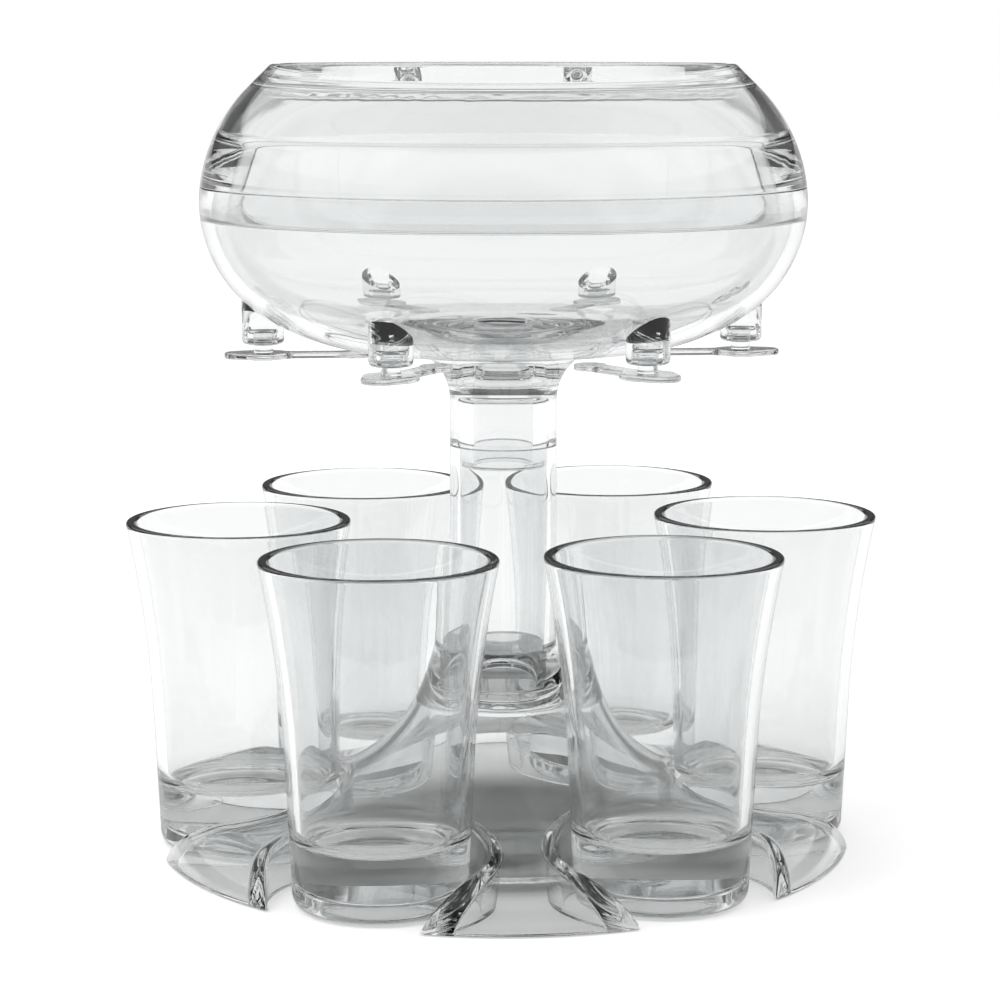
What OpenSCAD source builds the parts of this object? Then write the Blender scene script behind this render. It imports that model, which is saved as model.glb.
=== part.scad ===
// Party shot dispenser in clear moulded plastic.
// A two-piece bowl with six turn-key taps stands on a hollow column.
// The column stands in a six-petal base, and a shot cup stands in each bay between two petals.
// Millimetres. The origin is on the table under the column, and +Z points up.
// Cups and taps lie at 0, 60 .. 300 degrees, and the petals lie between them.

/* [Base] */
// Radius of the circle through the petals' outer edges
base_r = 83.4; // [80:0.1:88]
// Height of the base's top, where the column stands
base_h = 47; // [45:0.1:52]
// Wall of the moulded base
base_wall = 2.5; // [2:0.1:3]
// Radius of the sweep from the column out to the petals
flare_r = 48; // [46:0.1:50]
// Angle of that sweep's top from the vertical
flare_top_angle = 17; // [12:1:20]
// Radius of the round from a petal's top face down its outer edge
petal_round = 13; // [11:0.1:15]
// Depth of that round's centre below the table
petal_round_drop = 2.2; // [0:0.1:4]
// Slope of the petals' top face, where the sweep ends and that round starts
petal_slope = 7.9; // [6:0.1:10]
// Gap between a cup's foot and its bay in the base
bay_gap = 4.1; // [3.5:0.1:5]
// How far the bay's centre lies outside the cup's
bay_shift = 2.8; // [2:0.1:3]
// How far the bay's wall leans back
bay_lean = 1.3; // [0.8:0.1:2]
// Height over which the bay's wall leans
bay_lean_h = 12; // [10:0.5:15]
// Thickness of the bay's wall
bay_wall = 3.2; // [2.5:0.1:3.6]

/* [Column] */
// Outside radius of the column and of the bowl's neck
column_r = 12.75; // [12:0.05:13.5]
// Wall of the column
column_wall = 2.35; // [2:0.05:2.8]
// Length of the column between the base and the bowl's neck
column_len = 48.5; // [44:0.5:60]
// How far the column's tail goes down into the base
tail_len = 11; // [8:0.5:13]
// Step from the column's outside in to its tail
tail_step = 1.35; // [1.2:0.05:1.6]
// Wall of the tail
tail_wall = 2; // [1.6:0.1:2.4]

/* [Bowl] */
// Radius of the bowl at its widest
belly_r = 71.4; // [70:0.1:74]
// Radius of the bowl's lower curve at its widest
belly_arc_r = 31.3; // [30:0.1:33]
// Radius of the flatter curve under the bowl
heel_arc_r = 50.8; // [48:0.1:54]
// Turn of that flatter curve
heel_angle = 33; // [30:0.5:35]
// Wall of both shells
bowl_wall = 3; // [2.5:0.1:3.4]
// Height of the straight neck under the bowl
neck_h = 10.75; // [9:0.25:13]
// Radius between the neck and the bowl's underside
neck_fillet_r = 12.5; // [11:0.5:14]
// How far the neck's spigot goes down into the column
spigot_len = 5.1; // [4:0.1:8]
// Radius of the hollow up the neck
neck_hollow_r = 7.1; // [5:0.1:7.5]
// Thickness of the web that closes the neck under the sump
neck_web_t = 3; // [2.5:0.1:4]
// Height of that web's underside above the neck's foot
neck_web_rise = 12; // [11:0.25:13]
// Radius of the sump, the well in the bowl's floor above that web
sump_r = 7; // [6:0.1:8]
// Height of the seam between the shells above the widest level
seam_rise = 3.8; // [3:0.1:6]
// Height from the seam up to the rim
upper_h = 28.3; // [26:0.1:31]
// Radius of the upper shell's shoulder
shoulder_arc_r = 38.5; // [37:0.1:40]
// Angle at which the shoulder becomes straight
shoulder_angle = 45.8; // [43:0.1:47]
// Width of the rim's flat top
rim_w = 2.2; // [1.8:0.1:2.8]
// Depth of the straight collar inside the rim
collar_h = 6.2; // [5:0.1:7.5]
// Height of the upper shell's tongue inside the lower shell
tongue_h = 7; // [5:0.1:8]
// Thickness of that tongue
tongue_t = 3.3; // [2.6:0.1:3.6]

/* [Taps] */
// How far inside the cup's axis the tap's axis lies
tap_inset = 6.4; // [5:0.1:8]
// Outside radius of a nozzle
nozzle_r = 5; // [4.4:0.1:5.4]
// Rounding round the nozzle's foot
nozzle_round = 1.5; // [0.8:0.1:1.8]
// Depth of the tap's socket in the nozzle
socket_depth = 3.6; // [3.2:0.1:4]
// Radius of the tap's peg
peg_r = 2.3; // [2.1:0.05:2.5]
// How far the snap bead stands out from the peg
bead_out = 0.2; // [0.12:0.02:0.3]
// Height of the snap bead
bead_h = 0.7; // [0.5:0.1:0.9]
// Length of the peg that shows between the lever and the nozzle
stem_gap = 1.9; // [1.4:0.1:3]
// Gap between the lever and the bowl's flat underside
lever_clear = 0.8; // [0.4:0.05:1]
// Thickness of the lever
lever_t = 1.4; // [1:0.1:1.8]
// Radius of the lever's pad under the nozzle
pad_r = 6.4; // [5.8:0.1:7]
// How far the pad's centre lies outside the tap's axis
pad_shift = 0; // [0:0.1:1.5]
// Radius of the pad's nose
nose_r = 4.4; // [4:0.1:5]
// How far the nose's centre lies outside the tap's axis
nose_shift = 4.8; // [4.2:0.1:5.6]
// Half the width of the lever's arm
arm_half_w = 2.5; // [2:0.1:3]
// Radius between the arm and the pad
arm_fillet_r = 3; // [2:0.1:4]
// Radius of the finger tab at the lever's inner end
tab_r = 3.8; // [3.4:0.1:4.4]
// Distance of the tab's centre inside the tap's axis
tab_reach = 21.6; // [20:0.1:25]
// Radius between the arm and the tab
tab_fillet_r = 6; // [4:0.5:8]
// Radius of each of the two ports through a tap
port_r = 0.65; // [0.5:0.05:0.75]
// Distance of the ports from the tap's axis
port_offset = 1.1; // [1.05:0.05:1.3]
// Thickness of the face seal on the peg
seal_t = 0.6; // [0.4:0.05:0.8]
// Radius of the face seal
seal_r = 2.1; // [1.95:0.05:2.1]

/* [Cups] */
// Radius of the circle that the cups stand on
cup_ring_r = 63.2; // [62:0.1:66]
// Height of a cup
cup_h = 78; // [70:0.5:84]
// Radius of a cup where its straight side would meet the table
cup_foot_r = 19.7; // [18.5:0.1:20.2]
// Rise in radius for each millimetre of height
cup_taper = 0.045; // [0.03:0.005:0.06]
// Height at which a cup's side starts to flare
cup_flare_z = 32.6; // [28:0.2:40]
// Radius of that flare
cup_flare_r = 285; // [260:1:400]
// Wall of a cup
cup_wall = 2.6; // [2:0.1:3]
// Height of a cup's inner floor
cup_floor_z = 14.3; // [12:0.1:17]
// Radius between a cup's floor and its wall
cup_floor_round = 4; // [3:0.1:6]
// Rounding round a cup's foot
cup_foot_round = 2.6; // [1.5:0.1:3.5]
// Depth of the hollow under a cup
cup_kick_h = 4; // [2:0.1:5]
// Radius of the hollow under a cup
cup_kick_r = 13.5; // [12:0.1:15]

/* [Fits] */
// Clearance of the spigot in the column, on the radius
spigot_clear = 0.08; // [0.04:0.01:0.1]
// Clearance of the tail in the base, on the radius
tail_clear = 0.05; // [0.02:0.01:0.1]
// Clearance of the peg in its socket, on the radius
peg_clear = 0.08; // [0.04:0.01:0.1]
// Clearance above and below the snap bead and over the seal
face_clear = 0.05; // [0.03:0.01:0.1]
// Gap filled with cement between the tongue and the lower shell
glue_gap = 0.1; // [0.05:0.01:0.2]

/* [Hidden] */
$fn = 96;
places = 6;
place_angle = 360 / places;
over = 1;            // how far a cut runs past the solid
arc_steps = 20;      // straight stretches in each round of a turned outline
lever_steps = 8;     // straight stretches in each round of a lever's outline

// The base
bay_ring_r = cup_ring_r + bay_shift;
bay_foot_r = cup_foot_r + cup_foot_round * cup_taper + bay_gap;
bay_top_r = bay_foot_r + bay_lean;
flare_cr = column_r + flare_r * cos(flare_top_angle);
flare_cz = base_h + flare_r * sin(flare_top_angle);
petal_cr = base_r - sqrt(pow(petal_round, 2) - pow(petal_round_drop, 2));
petal_cz = -petal_round_drop;
petal_in_r = petal_round - base_wall;

// The column
tail_r = column_r - tail_step;
column_bore_r = column_r - column_wall;
socket_z = base_h - tail_len;
ledge_z = socket_z - base_wall;
neck_z = base_h + column_len;

// The bowl
spigot_r = column_bore_r - spigot_clear;
spigot_z = neck_z - spigot_len;
fillet_cr = column_r + neck_fillet_r;
fillet_cz = neck_z + neck_h;
under_z = fillet_cz + neck_fillet_r;
web_z = neck_z + neck_web_rise;
sump_z = web_z + neck_web_t;
belly_cr = belly_r - belly_arc_r;
heel_cr = belly_cr - (heel_arc_r - belly_arc_r) * sin(heel_angle);
heel_cz = under_z + heel_arc_r;
belly_z = heel_cz - (heel_arc_r - belly_arc_r) * cos(heel_angle);
seam_z = belly_z + seam_rise;
seam_angle = asin(seam_rise / belly_arc_r);
seam_r = belly_cr + belly_arc_r * cos(seam_angle);
shoulder_cr = seam_r - shoulder_arc_r * cos(seam_angle);
shoulder_cz = seam_z - shoulder_arc_r * sin(seam_angle);
rim_z = seam_z + upper_h;
slope_r0 = shoulder_cr + shoulder_arc_r * cos(shoulder_angle);
slope_z0 = shoulder_cz + shoulder_arc_r * sin(shoulder_angle);
rim_r = slope_r0 - (rim_z - slope_z0) * tan(shoulder_angle);
mouth_r = rim_r - rim_w;
collar_z = rim_z - collar_h;
shoulder_in_r = shoulder_arc_r - bowl_wall;
slope_in_r0 = shoulder_cr + shoulder_in_r * cos(shoulder_angle);
slope_in_z0 = shoulder_cz + shoulder_in_r * sin(shoulder_angle);
collar_root_r = slope_in_r0 - (collar_z - slope_in_z0) * tan(shoulder_angle);
tongue_r = belly_r - bowl_wall - glue_gap;
band_r = tongue_r - tongue_t;
band_angle = acos((band_r - shoulder_cr) / shoulder_in_r);

// The taps
tap_ring_r = cup_ring_r - tap_inset;
lever_z = under_z - lever_clear;
nozzle_z = lever_z + stem_gap;
socket_top_z = nozzle_z + socket_depth;
socket_r = peg_r + peg_clear;
seal_top_z = socket_top_z - face_clear;
peg_top_z = seal_top_z - seal_t;
bead_r = peg_r + bead_out;
bead_z = nozzle_z + (peg_top_z - nozzle_z - bead_h) / 2;
port_top_z = belly_z;

// An arc of an outline, as points from angle a0 to angle a1
function arc(cr, cz, r, a0, a1, steps = arc_steps) =
    [for (i = [0 : steps]) let (a = a0 + (a1 - a0) * i / steps) [cr + r * cos(a), cz + r * sin(a)]];

// Outside radius of a cup at height z: a straight taper with a flare above it
function cup_r(z) =
    let (rise = max(0, z - cup_flare_z))
    cup_foot_r + cup_taper * z + cup_flare_r - sqrt(pow(cup_flare_r, 2) - pow(rise, 2));

// Puts a copy at place k of the six, where the first lies on +X
module at_place(k) {
    rotate([0, 0, (k - 1) * place_angle]) children();
}

// ---------- base ----------

// The bay for a cup, grown by a wall's thickness where the wall is kept
module bay(grow) {
    translate([bay_ring_r, 0, 0])
        rotate_extrude()
            polygon([
                [0, -over], [bay_foot_r + grow, -over], [bay_foot_r + grow, 0],
                [bay_top_r + grow, bay_lean_h], [bay_top_r + grow, base_h], [0, base_h]
            ]);
}

// The sweep, the petals' straight top face and the round down their outer edge, all filled
module base_outside() {
    edge_angle = asin(petal_round_drop / petal_round);
    rotate_extrude()
        polygon(concat(
            [[0, 0], [0, base_h]],
            arc(flare_cr, flare_cz, flare_r, 180 + flare_top_angle, 270 - petal_slope),
            arc(petal_cr, petal_cz, petal_round, 90 - petal_slope, edge_angle)
        ));
}

// The hollow under the base, a wall below its outside, which stops at a ledge under the column's tail
module base_hollow() {
    inner_r = flare_r + base_wall;
    top_angle = 180 + asin((flare_cz - ledge_z) / inner_r);
    edge_angle = asin((petal_round_drop - over) / petal_in_r);
    rotate_extrude()
        polygon(concat(
            [[0, -over], [0, ledge_z]],
            arc(flare_cr, flare_cz, inner_r, top_angle, 270 - petal_slope),
            arc(petal_cr, petal_cz, petal_in_r, 90 - petal_slope, edge_angle)
        ));
}

module base() {
    color("whitesmoke", 0.55)
        difference() {
            base_outside();
            for (k = [1 : places]) at_place(k) bay(0);
            difference() {
                base_hollow();
                for (k = [1 : places]) at_place(k) bay(bay_wall);
            }
            translate([0, 0, socket_z]) cylinder(h = tail_len + over, r = tail_r + tail_clear);
            translate([0, 0, ledge_z - over]) cylinder(h = base_wall + 2 * over, r = tail_r - tail_wall);
        }
}

// ---------- column ----------

module column() {
    color("whitesmoke", 0.45)
        rotate_extrude()
            polygon([
                [tail_r - tail_wall, socket_z], [tail_r, socket_z], [tail_r, base_h],
                [column_r, base_h], [column_r, neck_z], [column_bore_r, neck_z],
                [column_bore_r, base_h + tail_wall], [tail_r - tail_wall, base_h]
            ]);
}

// ---------- bowl ----------

// The lower shell filled, with its neck and the spigot that stands in the column
module lower_outside() {
    spigot_chamfer = 0.7;
    rotate_extrude()
        polygon(concat(
            [
                [0, spigot_z], [spigot_r - spigot_chamfer, spigot_z],
                [spigot_r, spigot_z + spigot_chamfer], [spigot_r, neck_z], [column_r, neck_z]
            ],
            arc(fillet_cr, fillet_cz, neck_fillet_r, 180, 90),
            arc(heel_cr, heel_cz, heel_arc_r, 270, 270 + heel_angle),
            arc(belly_cr, belly_z, belly_arc_r, heel_angle - 90, seam_angle),
            [[0, seam_z]]
        ));
}

// The drink's room in the lower shell, with the sump at the neck's top and the step for the tongue
module lower_room() {
    belly_in_r = belly_arc_r - bowl_wall;
    lap_angle = min(0, asin((seam_z - tongue_h - glue_gap - belly_z) / belly_in_r));
    rotate_extrude()
        polygon(concat(
            [[0, sump_z], [sump_r, sump_z], [sump_r, under_z + bowl_wall]],
            arc(heel_cr, heel_cz, heel_arc_r - bowl_wall, 270, 270 + heel_angle),
            arc(belly_cr, belly_z, belly_in_r, heel_angle - 90, lap_angle),
            [
                [belly_r - bowl_wall, belly_z + belly_in_r * sin(lap_angle)],
                [belly_r - bowl_wall, seam_z + over], [0, seam_z + over]
            ]
        ));
}

// A nozzle under the shell, which the drink's room cuts off flush inside
module nozzle() {
    translate([tap_ring_r, 0, 0])
        rotate_extrude()
            polygon(concat(
                [[0, nozzle_z]],
                arc(nozzle_r - nozzle_round, nozzle_z + nozzle_round, nozzle_round, 270, 360),
                [[nozzle_r, belly_z], [0, belly_z]]
            ));
}

// The tap's socket with its snap groove, and the two ports up into the bowl
module tap_socket() {
    translate([tap_ring_r, 0, 0]) {
        translate([0, 0, nozzle_z - over]) cylinder(h = socket_depth + over, r = socket_r);
        translate([0, 0, bead_z - face_clear]) cylinder(h = bead_h + 2 * face_clear, r = bead_r + peg_clear);
        for (side = [-1, 1])
            translate([side * port_offset, 0, socket_top_z - over])
                cylinder(h = port_top_z - socket_top_z + over, r = port_r, $fn = 32);
    }
}

module lower_shell() {
    color("whitesmoke", 0.35)
        difference() {
            union() {
                lower_outside();
                for (k = [1 : places]) at_place(k) nozzle();
            }
            lower_room();
            translate([0, 0, spigot_z - over]) cylinder(h = web_z - spigot_z + over, r = neck_hollow_r);
            for (k = [1 : places]) at_place(k) tap_socket();
        }
}

// The upper shell, with the collar inside its rim and the tongue that laps the lower shell
module upper_shell() {
    color("whitesmoke", 0.35)
        rotate_extrude()
            polygon(concat(
                [[band_r, seam_z - tongue_h], [tongue_r, seam_z - tongue_h], [tongue_r, seam_z]],
                arc(shoulder_cr, shoulder_cz, shoulder_arc_r, seam_angle, shoulder_angle),
                [[rim_r, rim_z], [mouth_r, rim_z], [mouth_r, collar_z], [collar_root_r, collar_z]],
                arc(shoulder_cr, shoulder_cz, shoulder_in_r, shoulder_angle, band_angle)
            ));
}

// ---------- taps ----------

// Half of the lever's outline on the side of +Y, from the nose in to the finger tab
function lever_half() =
    let (
        side_angle = acos((pad_r - nose_r) / (nose_shift - pad_shift)),
        pad_fillet_x = pad_shift - sqrt(pow(pad_r + arm_fillet_r, 2) - pow(arm_half_w + arm_fillet_r, 2)),
        pad_meet = acos((pad_fillet_x - pad_shift) / (pad_r + arm_fillet_r)),
        tab_fillet_x = -tab_reach + sqrt(pow(tab_r + tab_fillet_r, 2) - pow(arm_half_w + tab_fillet_r, 2)),
        tab_meet = acos((tab_fillet_x + tab_reach) / (tab_r + tab_fillet_r))
    )
    concat(
        arc(nose_shift, 0, nose_r, 0, side_angle, lever_steps),
        arc(pad_shift, 0, pad_r, side_angle, pad_meet, lever_steps),
        arc(pad_fillet_x, arm_half_w + arm_fillet_r, arm_fillet_r, pad_meet - 180, -90, lever_steps),
        arc(tab_fillet_x, arm_half_w + tab_fillet_r, tab_fillet_r, -90, tab_meet - 180, lever_steps),
        arc(-tab_reach, 0, tab_r, tab_meet, 180, lever_steps)
    );

module lever_outline() {
    half = lever_half();
    last = len(half) - 1;
    polygon(concat(half, [for (i = [1 : last - 1]) let (p = half[last - i]) [p[0], -p[1]]]));
}

// The two ports, a quarter turn away from the socket's while the tap is shut
module tap_ports(z0, z1) {
    for (side = [-1, 1])
        translate([0, side * port_offset, z0 - over])
            cylinder(h = z1 - z0 + 2 * over, r = port_r, $fn = 32);
}

// A lever and its peg, moulded in one
module tap() {
    color("gainsboro", 0.6)
        translate([tap_ring_r, 0, 0])
            difference() {
                union() {
                    translate([0, 0, lever_z - lever_t]) linear_extrude(height = lever_t) lever_outline();
                    translate([0, 0, lever_z - lever_t]) cylinder(h = peg_top_z - lever_z + lever_t, r = peg_r);
                    translate([0, 0, bead_z]) cylinder(h = bead_h, r = bead_r);
                }
                tap_ports(lever_z - lever_t, peg_top_z);
            }
}

// A silicone disc that seals the peg's end against the socket
module tap_seal() {
    color("white")
        translate([tap_ring_r, 0, 0])
            difference() {
                translate([0, 0, peg_top_z]) cylinder(h = seal_t, r = seal_r);
                tap_ports(peg_top_z, seal_top_z);
            }
}

// ---------- cups ----------

module cup() {
    side_steps = 24;
    foot_top_z = cup_foot_round;
    wall_foot_z = cup_floor_z + cup_floor_round;
    kick_slope = 1;
    color("whitesmoke", 0.35)
        translate([cup_ring_r, 0, 0])
            rotate_extrude()
                polygon(concat(
                    [[0, cup_kick_h], [cup_kick_r - kick_slope, cup_kick_h], [cup_kick_r, 0]],
                    arc(cup_r(foot_top_z) - cup_foot_round, foot_top_z, cup_foot_round, 270, 360),
                    [for (i = [1 : side_steps])
                        let (z = foot_top_z + (cup_h - foot_top_z) * i / side_steps) [cup_r(z), z]],
                    [for (i = [0 : side_steps])
                        let (z = cup_h - (cup_h - wall_foot_z) * i / side_steps) [cup_r(z) - cup_wall, z]],
                    arc(cup_r(wall_foot_z) - cup_wall - cup_floor_round, wall_foot_z, cup_floor_round, 0, -90),
                    [[0, cup_floor_z]]
                ));
}

// ---------- the assembly ----------

base();
column();
lower_shell();
upper_shell();
for (k = [1 : places]) {
    at_place(k) tap();
    at_place(k) tap_seal();
    at_place(k) cup();
}
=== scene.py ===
"""The looks of a clear party shot dispenser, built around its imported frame.

Every visible surface is worked out here with numpy: the bowl's two shells, the column, the cups and
the taps are outlines turned about an axis or carried round an edge, and the petalled base is four
grids per half petal, mirrored and turned into place. Lengths are millimetres until a mesh is made.
"""
import logging
import math
from dataclasses import dataclass
from enum import Enum

import bmesh
import bpy
import numpy as np
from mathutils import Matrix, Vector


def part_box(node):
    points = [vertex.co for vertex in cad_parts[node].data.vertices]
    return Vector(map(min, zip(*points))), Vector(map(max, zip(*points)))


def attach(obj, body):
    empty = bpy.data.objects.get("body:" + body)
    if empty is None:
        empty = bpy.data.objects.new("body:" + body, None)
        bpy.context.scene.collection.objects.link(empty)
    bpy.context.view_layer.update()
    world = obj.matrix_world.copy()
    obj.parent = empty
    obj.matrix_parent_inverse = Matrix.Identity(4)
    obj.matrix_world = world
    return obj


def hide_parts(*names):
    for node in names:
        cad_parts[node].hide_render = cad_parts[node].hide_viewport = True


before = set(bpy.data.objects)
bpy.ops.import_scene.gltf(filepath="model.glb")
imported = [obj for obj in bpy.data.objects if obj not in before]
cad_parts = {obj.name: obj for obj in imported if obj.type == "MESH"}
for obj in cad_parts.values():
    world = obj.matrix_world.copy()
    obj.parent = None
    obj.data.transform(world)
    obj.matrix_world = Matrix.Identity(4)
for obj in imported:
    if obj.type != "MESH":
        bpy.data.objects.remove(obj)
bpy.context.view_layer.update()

log = logging.getLogger("dispenser")

MM = 0.001
PLACES = 6
FULL_TURN = 360.0
IMAGE_SIZE = 1000
SENSOR_WIDTH = 36.0
# Faces that touch in the real object stand this far from their plane, in millimetres.
SEAM_GAP = 0.02
# The taps' axes stand this far inside the cups' axes, in millimetres.
TAP_INSET = 6.4
# Points closer than this, in metres, are one point.
MERGE_REACH = 2e-6
# The colour sockets of a mix node: its two inputs and its output.
MIX_FIRST, MIX_SECOND, MIX_OUT = 6, 7, 2


def mm_box(node: str) -> np.ndarray:
    """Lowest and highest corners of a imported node, in millimetres, as a 2 by 3 array."""
    return np.array(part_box(node)) / MM


# ---------------------------------------------------------------- outlines


def arc(centre: tuple[float, float], radius: float, start: float, stop: float,
        count: int = 24) -> np.ndarray:
    """Points along an arc: centre + radius * (cos a, sin a), with a stepping evenly.

    Args:
        centre: Centre of the arc.
        radius: Its radius.
        start: First angle, in degrees.
        stop: Last angle, in degrees.
        count: Number of points.

    Returns:
        The points, as a count by 2 array.
    """
    angle = np.radians(np.linspace(start, stop, count))
    return np.array(centre) + radius * np.stack([np.cos(angle), np.sin(angle)], axis=1)


def half_chord(radius: float, offset: np.ndarray | float) -> np.ndarray | float:
    """Half a circle's chord at an offset from its centre: sqrt(R^2 - offset^2), or 0 outside."""
    return np.sqrt(np.maximum(radius ** 2 - offset ** 2, 0))


def line(*points: tuple[float, float]) -> np.ndarray:
    """A straight or broken line through the given points, as an array."""
    return np.array(points, dtype=float)


def straights(*points: tuple[float, float]) -> list[np.ndarray]:
    """Straight legs, from each of the given points to the next."""
    return [line(first, last) for first, last in zip(points, points[1:])]


def bezier(first: np.ndarray, corner: np.ndarray, last: np.ndarray, steps: int) -> np.ndarray:
    """The round of a corner: (1-s)^2 first + 2 s (1-s) corner + s^2 last, with its ends left out.

    Args:
        first: Where the round leaves the first leg, or an array of such points.
        corner: The sharp corner.
        last: Where the round meets the second leg.
        steps: Number of stretches in the round.

    Returns:
        The steps - 1 points between the ends, stacked along a new first axis.
    """
    s = np.linspace(0.0, 1.0, steps + 1)[1:-1].reshape((-1,) + (1,) * np.ndim(first))
    return (1 - s) ** 2 * first + 2 * s * (1 - s) * corner + s ** 2 * last


def trimmed(leg: np.ndarray, start_cut: float, stop_cut: float, spacing: float,
            close: float = 0.12) -> np.ndarray:
    """A leg shortened at its ends and stepped evenly, with a close point beside each end.

    The leg is read by its running length, at lengths from start_cut to its whole less stop_cut.

    Args:
        leg: The leg's points.
        start_cut: Length left out at its start.
        stop_cut: Length left out at its end.
        spacing: The most that two points lie apart.
        close: Distance of the close point from its end, or a quarter of a short leg.

    Returns:
        The shortened leg's points.
    """
    run = np.concatenate([[0.0], np.cumsum(np.hypot(*np.diff(leg, axis=0).T))])
    low, high = start_cut, run[-1] - stop_cut
    beside = min(close, (high - low) / 4)
    steps = max(1, math.ceil((high - low - 2 * beside) / spacing))
    s = np.concatenate([[low], np.linspace(low + beside, high - beside, steps + 1), [high]])
    return np.stack([np.interp(s, run, leg[:, 0]), np.interp(s, run, leg[:, 1])], axis=1)


def rounded(legs: list[np.ndarray], rounds: list[float], spacing: float = 1.4,
            closed: bool = False, steps: int = 6) -> np.ndarray:
    """One outline from legs that meet end to end, with each meeting point rounded.

    Args:
        legs: The stretches of the outline, where each starts at the last one's end.
        rounds: How far each round reaches along its legs. The first is the round at the end of
            the first leg. A closed outline has one more, at the end of the last leg.
        spacing: Distance between points along a leg.
        closed: Whether the last leg ends where the first starts.
        steps: Stretches in each round.

    Returns:
        The outline's points in order, without a repeated last point when it is closed.
    """
    before = ([rounds[-1]] if closed else [0.0]) + rounds[:len(legs) - 1]
    after = rounds[:len(legs)] if closed else rounds[:len(legs) - 1] + [0.0]
    cut = [trimmed(leg, a, b, spacing) for leg, a, b in zip(legs, before, after)]
    parts: list[np.ndarray] = []
    for index, leg in enumerate(cut):
        parts.append(leg)
        if closed or index < len(cut) - 1:
            following = cut[(index + 1) % len(cut)]
            parts.append(bezier(leg[-1], legs[index][-1], following[0], steps))
    return np.concatenate(parts)


# ---------------------------------------------------------------- surfaces


def spin(degrees: float) -> np.ndarray:
    """The matrix that turns rows of points about Z: (x cos a - y sin a, x sin a + y cos a, z)."""
    a = math.radians(degrees)
    return np.array([[math.cos(a), math.sin(a), 0], [-math.sin(a), math.cos(a), 0], [0, 0, 1]])


@dataclass
class Surface:
    """A mesh in the making: vertices in millimetres and four-cornered faces."""

    vertices: np.ndarray
    faces: np.ndarray

    def moved(self, offset: tuple[float, float, float]) -> "Surface":
        """The surface shifted by an offset."""
        return Surface(self.vertices + np.array(offset), self.faces)

    def turned(self, degrees: float) -> "Surface":
        """The surface turned about Z."""
        return Surface(self.vertices @ spin(degrees), self.faces)

    def mirrored(self) -> "Surface":
        """The surface with y negated, and its faces wound the other way to match."""
        return Surface(self.vertices * np.array([1.0, -1.0, 1.0]), self.faces[:, ::-1])

    @staticmethod
    def joined(parts: list["Surface"]) -> "Surface":
        """Several surfaces as one, with their face numbers shifted to fit.

        Args:
            parts: The surfaces.

        Returns:
            The one surface that holds them all.
        """
        starts = np.cumsum([0] + [len(part.vertices) for part in parts[:-1]])
        faces = [part.faces + start for part, start in zip(parts, starts)]
        return Surface(np.concatenate([part.vertices for part in parts]), np.concatenate(faces))


def grid(points: np.ndarray, wrap_rows: bool = False, wrap_columns: bool = False) -> Surface:
    """A surface from a grid of points: each face joins a point to its next row and column.

    Args:
        points: Rows by columns by 3.
        wrap_rows: Whether the last row joins the first.
        wrap_columns: Whether the last column joins the first.

    Returns:
        The surface.
    """
    rows, columns = points.shape[:2]
    number = np.arange(rows * columns).reshape(rows, columns)
    number = np.concatenate([number, number[:1]]) if wrap_rows else number
    number = np.concatenate([number, number[:, :1]], axis=1) if wrap_columns else number
    faces = np.stack([number[:-1, :-1], number[:-1, 1:], number[1:, 1:], number[1:, :-1]], axis=-1)
    return Surface(points.reshape(-1, 3), faces.reshape(-1, 4))


def turned_outline(outline: np.ndarray, segments: int, closed: bool) -> Surface:
    """An outline carried round Z: (r cos a, r sin a, z) for each point and each angle.

    Args:
        outline: Points (r, z). An open outline starts and ends on the axis.
        segments: Steps round the axis.
        closed: Whether the outline's last point joins its first.

    Returns:
        The turned surface.
    """
    angle = np.linspace(0.0, 2 * math.pi, segments, endpoint=False)
    r, z = outline[:, :1], outline[:, 1:]
    points = np.stack([r * np.cos(angle), r * np.sin(angle), z + 0 * angle], axis=-1)
    return grid(points, wrap_rows=closed, wrap_columns=True)


def scene_object(name: str, data: bpy.types.ID) -> bpy.types.Object:
    """Puts a new object in the scene.

    Args:
        name: Its name.
        data: The mesh, lamp or camera that it shows.

    Returns:
        The object.
    """
    thing = bpy.data.objects.new(name, data)
    bpy.context.scene.collection.objects.link(thing)
    return thing


def mesh_object(name: str, surface: Surface) -> bpy.types.Object:
    """A smooth object from a surface, with doubles merged and faces pointing outwards.

    Args:
        name: The object's name, and its mesh's.
        surface: Its shape.

    Returns:
        The object, in the scene.
    """
    mesh = bpy.data.meshes.new(name)
    mesh.vertices.add(len(surface.vertices))
    mesh.vertices.foreach_set("co", (surface.vertices * MM).astype(np.float32).ravel())
    mesh.loops.add(surface.faces.size)
    mesh.loops.foreach_set("vertex_index", surface.faces.astype(np.int32).ravel())
    mesh.polygons.add(len(surface.faces))
    mesh.polygons.foreach_set("loop_start", np.arange(0, surface.faces.size, 4, dtype=np.int32))
    mesh.update(calc_edges=True)
    work = bmesh.new()
    work.from_mesh(mesh)
    bmesh.ops.remove_doubles(work, verts=work.verts, dist=MERGE_REACH)
    bmesh.ops.recalc_face_normals(work, faces=work.faces)
    work.to_mesh(mesh)
    work.free()
    mesh.shade_smooth()
    return scene_object(name, mesh)


class Cut(Enum):
    """How one solid changes another."""

    ADD = "UNION"
    TAKE = "DIFFERENCE"


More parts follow.
